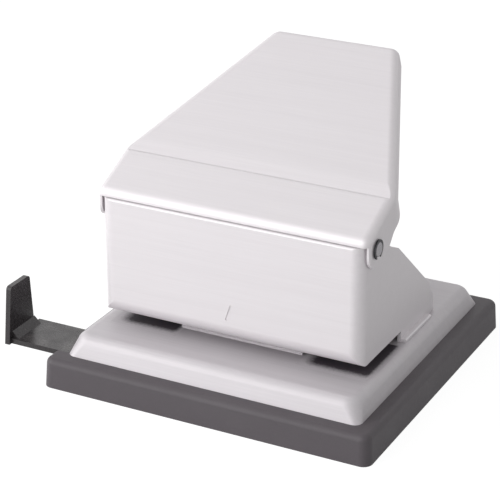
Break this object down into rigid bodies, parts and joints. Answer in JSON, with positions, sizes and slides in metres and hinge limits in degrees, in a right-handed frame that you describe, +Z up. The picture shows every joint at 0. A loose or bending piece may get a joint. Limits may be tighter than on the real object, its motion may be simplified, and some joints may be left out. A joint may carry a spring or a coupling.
{
  "type": "two-hole desk punch",
  "caption": "Hand-operated paper punch with a wide steel pressing handle, a steel housing on a base plate, a dark chip tray and a sliding paper guide.",
  "frame": {"origin": "middle of the bounding box, at the level the feet stand on", "axes": "+X to the right seen from the side the paper goes in, -Y towards that side, +Z up"},
  "size_m": [0.1668, 0.1372, 0.1221],
  "materials": {
    "tray_plastic": "fine grained, dark grey",
    "foot_rubber": "matte",
    "base_steel": "satin plated, fine marks from left to right",
    "housing_steel": "satin plated",
    "handle_steel": "satin plated",
    "frame_steel": "zinc plated",
    "hard_steel": "ground",
    "axle_steel": "turned",
    "fastener_steel": "zinc plated",
    "clip_steel": "black oxide",
    "spring_steel": "drawn wire and strip",
    "bush_brass": "turned",
    "guide_plastic": "moulded, near black"
  },
  "bodies": {
    "tray": {"chip_tray": "tray_plastic", "rubber_feet": "foot_rubber"},
    "unit": {"base_plate": "base_steel", "paper_table": "base_steel", "die_left": "hard_steel", "die_right": "hard_steel", "frame_rivets": "fastener_steel", "housing_rivets": "fastener_steel", "body_housing": "housing_steel", "punch_frame": "frame_steel", "lower_bush_left": "bush_brass", "lower_bush_right": "bush_brass", "upper_bush_left": "bush_brass", "upper_bush_right": "bush_brass", "axle": "axle_steel", "axle_clip_left": "clip_steel", "axle_clip_right": "clip_steel", "guide_strap_left": "frame_steel", "guide_strap_right": "frame_steel", "guide_leaf": "spring_steel"},
    "handle": {"handle_shell": "handle_steel", "cam_left": "hard_steel", "cam_right": "hard_steel"},
    "punch_left": {"punch_pin_left": "hard_steel", "spring_cap_left": "fastener_steel", "pin_ring_left": "clip_steel", "return_spring_left": "spring_steel"},
    "punch_right": {"punch_pin_right": "hard_steel", "spring_cap_right": "fastener_steel", "pin_ring_right": "clip_steel", "return_spring_right": "spring_steel"},
    "guide": {"paper_guide": "guide_plastic"}
  },
  "joints": [
    {"name": "tray_lift", "type": "slide", "parent": "tray", "child": "unit", "axis": [0, 0, 1], "range_m": [0, 0.02]},
    {"name": "handle_press", "type": "hinge", "parent": "unit", "child": "handle", "pos_m": [0.0115, -0.0356, 0.074], "axis": [-1, 0, 0], "range_deg": [0, 22], "stiffness_Nm_per_rad": 0.9, "springref_deg": -14.32},
    {"name": "punch_left_drop", "type": "slide", "parent": "unit", "child": "punch_left", "axis": [0, 0, -1], "range_m": [0, 0.00603], "deforming": ["return_spring_left"]},
    {"name": "punch_right_drop", "type": "slide", "parent": "unit", "child": "punch_right", "axis": [0, 0, -1], "range_m": [0, 0.00603], "deforming": ["return_spring_right"]},
    {"name": "guide_slide", "type": "slide", "parent": "unit", "child": "guide", "axis": [-1, 0, 0], "range_m": [-0.02, 0.044]}
  ],
  "couplings": [
    {"joint": "punch_left_drop", "follows": "handle_press", "m_per_rad": 0.0157},
    {"joint": "punch_right_drop", "follows": "handle_press", "m_per_rad": 0.0157}
  ]
}
